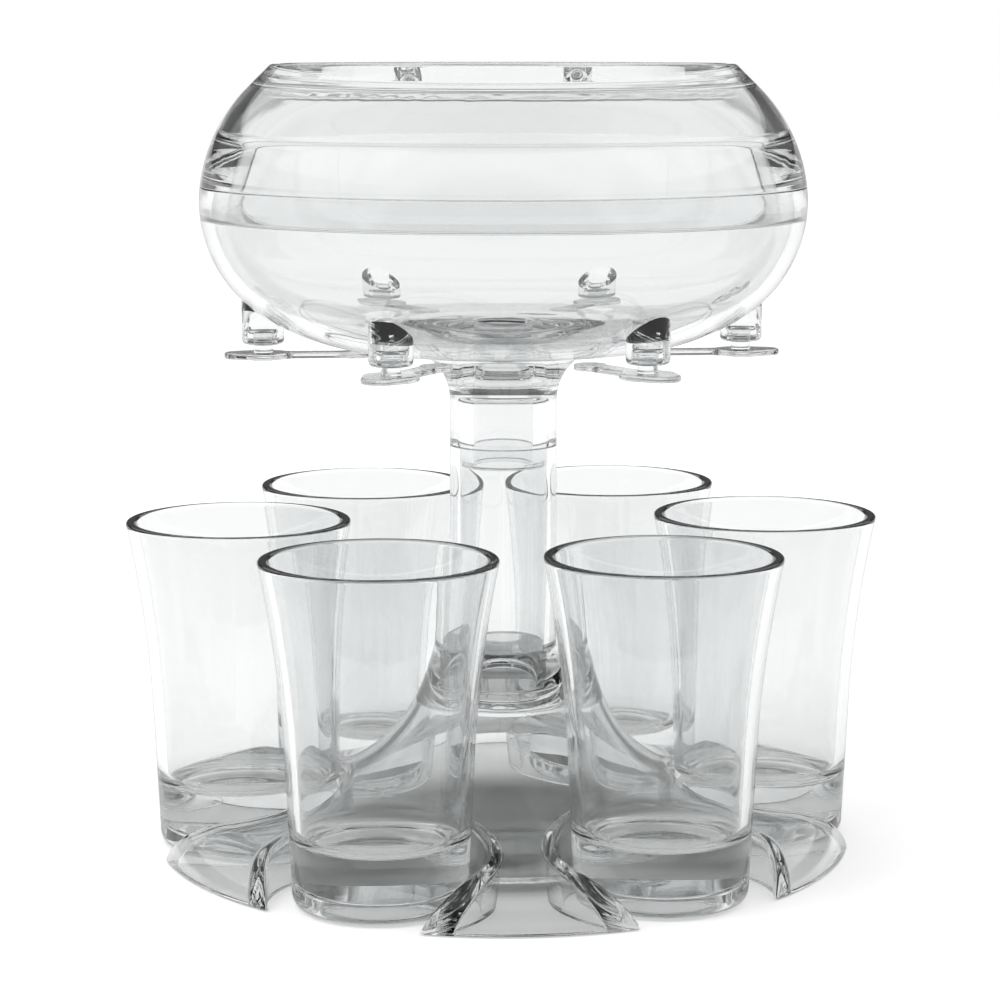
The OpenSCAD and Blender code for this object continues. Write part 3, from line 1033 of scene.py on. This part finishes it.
@dataclass
class PetalBase:
    """The base: a hollow sweep from the column's seat to six domed petals, with bays between them.

    Half a petal is worked out between a cup's line, at 0 degrees, and the petal's middle, at 30.
    Both its outside and the hollow under it are the same shape, a wall apart: a top face that ends
    along the bay, a rounded edge there, and the bay's own wall, which runs out at the petal's horn.
    """

    sizes: Sizes
    material: bpy.types.Material
    outer_r: float = 83.4
    wall: float = 2.5
    bay_wall: float = 3.2
    flare_r: float = 48.0
    flare_top_angle: float = 17.0
    petal_round: float = 13.0
    petal_round_drop: float = 2.2
    petal_slope: float = 7.9
    bay_shift: float = 2.8
    bay_foot_r: float = 23.92
    bay_lean: float = 1.3
    bay_lean_h: float = 12.0
    bay_lean_soft: float = 0.02
    tail_r: float = 11.45
    tail_hole_r: float = 9.4
    edge_round: float = 1.2
    hollow_round: float = 0.9
    foot_lift: float = 0.4
    lip_share: float = 0.4
    rim_steps: int = 48
    across_steps: int = 20
    across_ease: float = 1.4
    wall_steps: int = 7
    tip_steps: int = 6
    line_points: int = 500
    settle_rounds: int = 60
    sweep_points: int = 60
    roof_points: int = 40
    foot_steps: int = 4
    least_fall: float = 0.5

    def __post_init__(self) -> None:
        """Works out the centres of the top face's two arcs, its slope and the bay's centre."""
        s = self.sizes
        top = math.radians(self.flare_top_angle)
        self.flare_c = (s.column_r + self.flare_r * math.cos(top),
                        s.base_h + self.flare_r * math.sin(top))
        self.petal_c = (self.outer_r - half_chord(self.petal_round, self.petal_round_drop),
                        -self.petal_round_drop)
        self.slope = math.radians(self.petal_slope)
        self.bay_c = s.cup_ring_r + self.bay_shift
        self.half = math.radians(FULL_TURN / PLACES / 2)

    def top_height(self, reach: np.ndarray, depth: float) -> np.ndarray:
        """Height of the top face, or of the hollow's roof a depth below it, at given reaches.

        Args:
            reach: Distances from the axis.
            depth: 0 for the top face, or the wall's thickness for the roof.

        Returns:
            On the sweep, the centre's height less half the chord at that reach; past it, the
            touching line; and on the outer round, the centre's height and half the chord.
        """
        sweep_r, round_r = self.flare_r + depth, self.petal_round - depth
        line_r = self.flare_c[0] - sweep_r * math.sin(self.slope)
        line_z = self.flare_c[1] - sweep_r * math.cos(self.slope)
        round_start = self.petal_c[0] + round_r * math.sin(self.slope)
        sweep = self.flare_c[1] - half_chord(sweep_r, reach - self.flare_c[0])
        straight = line_z - math.tan(self.slope) * (reach - line_r)
        outer = self.petal_c[1] + half_chord(round_r, reach - self.petal_c[0])
        return np.where(reach < line_r, sweep, np.where(reach < round_start, straight, outer))

    def bay_radius(self, z: np.ndarray) -> np.ndarray:
        """Radius of the bay at height z: foot + lean * m, m being the lesser of z / lean_h and 1.

        The lesser of x and 1 is taken as (x + 1 - sqrt((x - 1)^2 + soft)) / 2, which has no corner.

        Args:
            z: Heights.

        Returns:
            The radii.
        """
        share = z / self.bay_lean_h
        lesser = (share + 1 - np.sqrt((share - 1) ** 2 + self.bay_lean_soft)) / 2
        return self.bay_foot_r + self.bay_lean * lesser

    def on_bay(self, psi: np.ndarray, z: np.ndarray, grow: float) -> np.ndarray:
        """Points (centre + rho cos psi, rho sin psi, z) on the bay's wall, grown by a distance."""
        rho = self.bay_radius(z) + grow
        return np.stack([self.bay_c + rho * np.cos(psi), rho * np.sin(psi), z + 0 * psi], axis=-1)

    def edge_angles(self, depth: float, grow: float, low: float) -> tuple[np.ndarray, np.ndarray]:
        """Where a grown bay cuts the top face or the roof, from its inner end down to a height.

        Args:
            depth: Which face it cuts, as in top_height.
            grow: How far the bay is grown.
            low: Height at which the line ends, at the petal's horn.

        Returns:
            Angles round the bay's centre and heights. At an angle psi the reach is
            sqrt(c^2 + rho^2 + 2 c rho cos psi), and rho and the height are found in turn, until
            both hold.
        """
        reach = self.petal_c[0] + half_chord(self.petal_round - depth, low - self.petal_c[1])
        rho = float(self.bay_radius(np.array(low))) + grow
        last = math.acos((reach ** 2 - self.bay_c ** 2 - rho ** 2) / (2 * self.bay_c * rho))
        psi = math.pi - (math.pi - last) * np.sin(np.linspace(0, math.pi / 2, self.line_points))
        z = np.full_like(psi, self.bay_lean_h)
        for _ in range(self.settle_rounds):
            rho = self.bay_radius(z) + grow
            reach = np.sqrt(self.bay_c ** 2 + rho ** 2 + 2 * self.bay_c * rho * np.cos(psi))
            z = self.top_height(reach, depth)
        z[-1] = low
        return psi, z

    def stepped(self, psi: np.ndarray, z: np.ndarray, grow: float) -> np.ndarray:
        """Angles and heights along a line on the bay's wall, at even steps of its length.

        Args:
            psi: Angles round the bay's centre, along the line.
            z: Heights along it.
            grow: How far the bay is grown.

        Returns:
            The stepped angles and heights, as an array of two rows.
        """
        points = self.on_bay(psi, z, grow)
        run = np.concatenate([[0.0], np.cumsum(np.linalg.norm(np.diff(points, axis=0), axis=1))])
        s = np.linspace(0, run[-1], self.rim_steps)
        return np.stack([np.interp(s, run, psi), np.interp(s, run, z)])

    def across(self) -> np.ndarray:
        """Shares of the way from the bay's edge to the petal's middle: even steps to a power."""
        return np.linspace(0, 1, self.across_steps) ** self.across_ease

    def shell(self, depth: float, grow: float,
              edge_round: float) -> tuple[np.ndarray, np.ndarray, np.ndarray]:
        """The top face, the edge with the bay's wall, and the foot line, of outside or hollow.

        Args:
            depth: 0 for the outside, or the wall's thickness for the hollow.
            grow: 0 for the outside, or the thickness of the bay's wall for the hollow.
            edge_round: How far the edge's round reaches to both sides.

        Returns:
            The top face as rows from the bay's inner end to the outer foot, each an arc about the
            main axis; the grid from the top face's rim over the edge and down the bay's wall; and
            the line round the foot, from the bay's inner end by the horn to the petal's middle.
        """
        low = self.foot_lift
        corner = self.on_bay(*self.stepped(*self.edge_angles(depth, grow, low), grow), grow)
        wide = grow + edge_round
        rim = self.on_bay(*self.stepped(*self.edge_angles(depth, wide, low), wide), wide)
        psi, z = self.edge_angles(depth, grow, low - edge_round / 2)
        mean_r = self.bay_foot_r + grow
        slant = np.stack([np.gradient(-psi * mean_r), np.gradient(z)])
        slant /= np.linalg.norm(slant, axis=0)
        slant[:, 0] = 1.0, 0.0
        below_psi, below_z = psi - slant[1] * edge_round / mean_r, z - slant[0] * edge_round
        keep = below_z > low
        falling = below_z < below_z[0] - self.least_fall
        end_psi = np.interp(-low, -below_z[falling], below_psi[falling])
        psi, z = self.stepped(np.append(below_psi[keep], end_psi),
                              np.append(below_z[keep], low), grow)
        shares = np.linspace(0, 1, self.wall_steps + 1)[:, None]
        drop = self.on_bay(psi + 0 * shares, z + (low - z) * shares, grow)
        edge = np.concatenate([rim[None], bezier(rim, corner, drop[0], self.tip_steps), drop])
        reach = np.hypot(rim[:, 0], rim[:, 1])[:, None]
        start = np.arctan2(rim[:, 1], rim[:, 0])[:, None]
        phi = start + (self.half - start) * self.across()
        height = rim[:, 2:] + 0 * phi
        face = np.stack([reach * np.cos(phi), reach * np.sin(phi), height], axis=-1)
        tip = edge[self.tip_steps - 1:0:-1, -1]
        return face, edge, np.concatenate([drop[-1], tip, face[-1]])

    def centre_outline(self, outside_r: float, inside_r: float) -> np.ndarray:
        """The turned middle: from the top face in to the column's socket, and out along the roof.

        Args:
            outside_r: Reach at which the top face takes over.
            inside_r: Reach at which the roof takes over.

        Returns:
            Points (r, z), whose ends are the first rows of the two faces.
        """
        s = self.sizes
        seat_z, socket_z = s.base_h - SEAM_GAP, s.socket_z - SEAM_GAP
        ledge_z = s.socket_z - self.wall
        sweep_r = self.flare_r + self.wall
        roof_r = self.flare_c[0] - half_chord(sweep_r, self.flare_c[1] - ledge_z)
        out_r = np.linspace(outside_r, s.column_r, self.sweep_points)
        in_r = np.linspace(roof_r, inside_r, self.roof_points)
        outside = np.stack([out_r, self.top_height(out_r, 0.0)], axis=1)
        outside[-1, 1] = seat_z
        legs = [
            outside,
            *straights((s.column_r, seat_z), (self.tail_r, seat_z), (self.tail_r, socket_z),
                       (self.tail_hole_r, socket_z), (self.tail_hole_r, ledge_z),
                       (roof_r, ledge_z)),
            np.stack([in_r, self.top_height(in_r, self.wall)], axis=1),
        ]
        return rounded(legs, [0.35, 0.3, 0.4, 0.5, 0.5, 1.5], spacing=1.6)

    def toward(self, first: np.ndarray, second: np.ndarray) -> np.ndarray:
        """The foot's lift from first towards second, or lip_share of the way if that is nearer.

        Args:
            first: Points to start from.
            second: Points to go towards.

        Returns:
            The points reached.
        """
        gap = second - first
        length = np.linalg.norm(gap, axis=1, keepdims=True)
        return first + gap / length * np.minimum(self.foot_lift, length * self.lip_share)

    def half_petal(self) -> Surface:
        """Half a petal: its faces, its edges and the strip that it stands on, as four grids.

        Returns:
            The surface, between a cup's line and the petal's middle.
        """
        face, edge, foot = self.shell(0.0, 0.0, self.edge_round)
        roof, roof_edge, roof_foot = self.shell(self.wall, self.bay_wall, self.hollow_round)
        centre = self.centre_outline(face[0, 0, 0], roof[0, 0, 0])
        phi = self.across() * self.half
        r, z = centre[1:-1, :1], centre[1:-1, 1:]
        middle = np.stack([r * np.cos(phi), r * np.sin(phi), z + 0 * phi], axis=-1)

        flat = np.array([1.0, 1.0, 0.0])
        corner, roof_corner = foot * flat, roof_foot * flat
        lip, roof_lip = self.toward(corner, roof_corner), self.toward(roof_corner, corner)
        strip = np.concatenate([
            foot[None], bezier(foot, corner, lip, self.foot_steps), lip[None],
            ((lip + roof_lip) / 2)[None], roof_lip[None],
            bezier(roof_lip, roof_corner, roof_foot, self.foot_steps), roof_foot[None]])
        return Surface.joined([grid(np.concatenate([face[::-1], middle, roof])), grid(edge),
                               grid(strip), grid(roof_edge)])

    def build(self) -> None:
        """Makes the base from twelve half petals."""
        half = self.half_petal()
        halves = (half, half.mirrored())
        parts = [part.turned(FULL_TURN * k / PLACES) for k in range(PLACES) for part in halves]
        base = mesh_object("petal_base", Surface.joined(parts))
        Piece("petal_base", "stand", "base", "clear_base").dress(base, self.material)


# ---------------------------------------------------------------- the studio


@dataclass
class Studio:
    """A white table, a white studio with dark flags, one soft lamp and the camera.

    The studio's marks are given in the sky's own direction, a unit vector: its X and Y lie level
    and its Z is the sine of the height. Each pair says where a change starts and where it ends.
    """

    camera_place: tuple[float, float, float] = (-49.3, -665.3, 189.7)
    camera_tilt: float = 80.82
    camera_turn: float = -4.17
    focal_px: float = 2820.8
    floor_z: float = -0.3
    floor_size: float = 6000.0
    card_colour: str = "#f1f1f1"
    floor_lift: float = 0.45
    floor_lift_through: float = 0.19
    shade_r: tuple[float, float] = (30.0, 56.0)
    flag_count: int = 8
    flag_edge: tuple[float, float] = (-0.35, -0.75)
    flag_top: tuple[float, float] = (0.75, 0.6)
    flag_depth: float = 0.3
    band_height: float = 0.2
    band_edge: tuple[float, float] = (0.105, 0.13)
    band_depth: float = 0.85
    room_edge: tuple[float, float] = (-0.62, -0.5)
    room_depth: float = 0.7
    lamp_place: tuple[float, float, float] = (-0.45, -0.25, 0.85)
    lamp_aim_z: float = 0.1
    lamp_size: float = 0.5
    lamp_power: float = 2.0

    def floor(self) -> None:
        """The table: matt white card, flat out to the horizon.

        The card shows as white to the camera and through the clear walls by a faint glow, which
        leaves its shadows. Under the base, out to shade_r, what is seen through the walls has no
        glow: a painted shadow under the object.
        """
        half = self.floor_size
        corners = np.array([[[-half, -half, self.floor_z], [half, -half, self.floor_z]],
                            [[-half, half, self.floor_z], [half, half, self.floor_z]]])
        table = mesh_object("table_card", grid(corners))
        material = bpy.data.materials.new("matt_white_card")
        tree = empty_tree(material)
        card = add_node(tree, "ShaderNodeBsdfDiffuse", {"Color": linear(self.card_colour)})
        path = add_node(tree, "ShaderNodeLightPath")
        seen = add_node(tree, "ShaderNodeMath", {"operation": "MULTIPLY", 1: self.floor_lift},
                        {0: path.outputs["Is Camera Ray"]})
        place = add_node(tree, "ShaderNodeTexCoord")
        reach = add_node(tree, "ShaderNodeVectorMath", {"operation": "LENGTH"},
                         {0: place.outputs["Object"]})
        # Painted shadow: the glow seen through the walls fades out towards the middle, under the
        # base.
        open_floor = add_node(tree, "ShaderNodeMapRange",
                              {"interpolation_type": "SMOOTHSTEP", "From Min": self.shade_r[0] * MM,
                               "From Max": self.shade_r[1] * MM, "To Max": self.floor_lift_through},
                              {"Value": reach.outputs["Value"]})
        indirect = add_node(tree, "ShaderNodeMath", {"operation": "ADD"},
                            {0: path.outputs["Is Glossy Ray"],
                             1: path.outputs["Is Transmission Ray"]})
        through = add_node(tree, "ShaderNodeMath", {"operation": "MULTIPLY_ADD"},
                           {0: indirect.outputs[0], 1: open_floor.outputs["Result"],
                            2: seen.outputs[0]})
        glow = add_node(tree, "ShaderNodeEmission", {"Color": linear("#ffffff")},
                        {"Strength": through.outputs[0]})
        both = add_node(tree, "ShaderNodeAddShader")
        tree.links.new(card.outputs[0], both.inputs[0])
        tree.links.new(glow.outputs[0], both.inputs[1])
        add_node(tree, "ShaderNodeOutputMaterial", links={"Surface": both.outputs[0]})
        table.data.materials.append(material)

    def surroundings(self) -> None:
        """The studio round the object: white, with dark parts that clear edges pick up.

        The dark parts are upright flags all round, a low band that the moulding's level faces
        mirror, and the unlit room behind the camera. The camera itself sees white alone.
        """
        world = bpy.data.worlds.new("white_studio")
        bpy.context.scene.world = world
        tree = empty_tree(world)
        place = add_node(tree, "ShaderNodeTexCoord")
        axes = add_node(tree, "ShaderNodeSeparateXYZ", links={"Vector": place.outputs["Generated"]})
        round_angle = add_node(tree, "ShaderNodeMath", {"operation": "ARCTAN2"},
                               {0: axes.outputs["Y"], 1: axes.outputs["X"]})
        turns = add_node(tree, "ShaderNodeMath",
                         {"operation": "MULTIPLY", 1: float(self.flag_count)},
                         {0: round_angle.outputs[0]})
        wave = add_node(tree, "ShaderNodeMath", {"operation": "COSINE"}, {0: turns.outputs[0]})
        band_off = add_node(tree, "ShaderNodeMath", {"operation": "SUBTRACT", 1: self.band_height},
                            {0: axes.outputs["Z"]})
        band_gap = add_node(tree, "ShaderNodeMath", {"operation": "ABSOLUTE"},
                            {0: band_off.outputs[0]})
        marks = ((wave.outputs[0], self.flag_edge, 0.0),
                 (axes.outputs["Z"], self.flag_top, 0.0),
                 (band_gap.outputs[0], self.band_edge, 1.0 - self.band_depth),
                 (axes.outputs["Y"], self.room_edge, 1.0 - self.room_depth))
        upright, low_part, band, room = (
            add_node(tree, "ShaderNodeMapRange",
                     {"interpolation_type": "SMOOTHSTEP", "From Min": start, "From Max": end,
                      "To Min": least}, {"Value": source})
            for source, (start, end), least in marks)
        flag = add_node(tree, "ShaderNodeMath", {"operation": "MULTIPLY"},
                        {0: upright.outputs[0], 1: low_part.outputs[0]})
        shade = add_node(tree, "ShaderNodeMath",
                         {"operation": "MULTIPLY_ADD", 1: -self.flag_depth, 2: 1.0},
                         {0: flag.outputs[0]})
        banded = add_node(tree, "ShaderNodeMath", {"operation": "MULTIPLY"},
                          {0: shade.outputs[0], 1: band.outputs[0]})
        dimmed = add_node(tree, "ShaderNodeMath", {"operation": "MULTIPLY"},
                          {0: banded.outputs[0], 1: room.outputs["Result"]})
        path = add_node(tree, "ShaderNodeLightPath")
        level = add_node(tree, "ShaderNodeMath", {"operation": "MAXIMUM"},
                         {0: dimmed.outputs[0], 1: path.outputs["Is Camera Ray"]})
        sky = add_node(tree, "ShaderNodeBackground", {"Color": linear("#ffffff")},
                       {"Strength": level.outputs[0]})
        add_node(tree, "ShaderNodeOutputWorld", links={"Surface": sky.outputs[0]})

    def lamp(self) -> None:
        """One wide soft lamp, above the object and to its left and front, aimed at its middle."""
        data = bpy.data.lights.new("soft_box", "AREA")
        data.shape = "RECTANGLE"
        data.size = data.size_y = self.lamp_size
        data.energy = self.lamp_power
        lamp = scene_object("soft_box", data)
        lamp.location = self.lamp_place
        x, y, z = self.lamp_place
        aim = math.atan2(math.hypot(x, y), z - self.lamp_aim_z)
        lamp.rotation_euler = (0.0, -aim, math.atan2(y, x) + math.pi)
        lamp.visible_glossy = False
        lamp.visible_transmission = False

    def camera(self) -> None:
        """The camera at the photograph's place, height and angle."""
        data = bpy.data.cameras.new("camera")
        data.sensor_width = SENSOR_WIDTH
        data.lens = self.focal_px * SENSOR_WIDTH / IMAGE_SIZE
        data.clip_start, data.clip_end = 0.01, 50.0
        eye = scene_object("camera", data)
        eye.location = tuple(v * MM for v in self.camera_place)
        eye.rotation_euler = (math.radians(self.camera_tilt), 0.0, math.radians(self.camera_turn))
        bpy.context.scene.camera = eye

    def build(self) -> None:
        """Sets up the studio, and the light paths that stacked clear walls need."""
        self.camera()
        self.floor()
        self.surroundings()
        self.lamp()
        scene = bpy.context.scene
        scene.view_settings.view_transform = "Standard"
        scene.cycles.max_bounces = 24
        scene.cycles.transmission_bounces = 24
        scene.cycles.glossy_bounces = 12
        scene.cycles.diffuse_bounces = 3
        scene.cycles.sample_clamp_indirect = 4.0
        log.info("studio ready")


def main() -> None:
    """Builds the studio and each sub-assembly in order."""
    logging.basicConfig(level=logging.INFO, format="%(name)s: %(message)s")
    Studio().build()
    sizes = Sizes.read()
    # Each clear plastic's edge colour is painted edge shade; the base also gets a painted shade
    # band of height.
    bowl_plastic = ClearMoulding("clear_styrene_bowl", painted_edge_shade="#3a3c3c").build()
    cup_plastic = ClearMoulding("clear_styrene_cup").build()
    base_plastic = ClearMoulding("clear_styrene_base_painted_shade", face_colour="#f6f7f7",
                                 painted_edge_shade="#0a0b0b", edge_shade_start=0.72,
                                 painted_shade_colour="#dadcdc").build()
    tap_plastic = ClearMoulding("clear_styrene_tap", painted_edge_shade="#141515", edge_shade_start=0.7).build()
    silicone = MouldedSilicone("moulded_silicone").build()
    PetalBase(sizes, base_plastic).build()
    Column(sizes, bowl_plastic).build()
    Bowl(sizes, bowl_plastic).build()
    Taps(sizes, tap_plastic, silicone).build()
    ShotCup(sizes, cup_plastic).build()


if __name__ == "__main__":
    main()
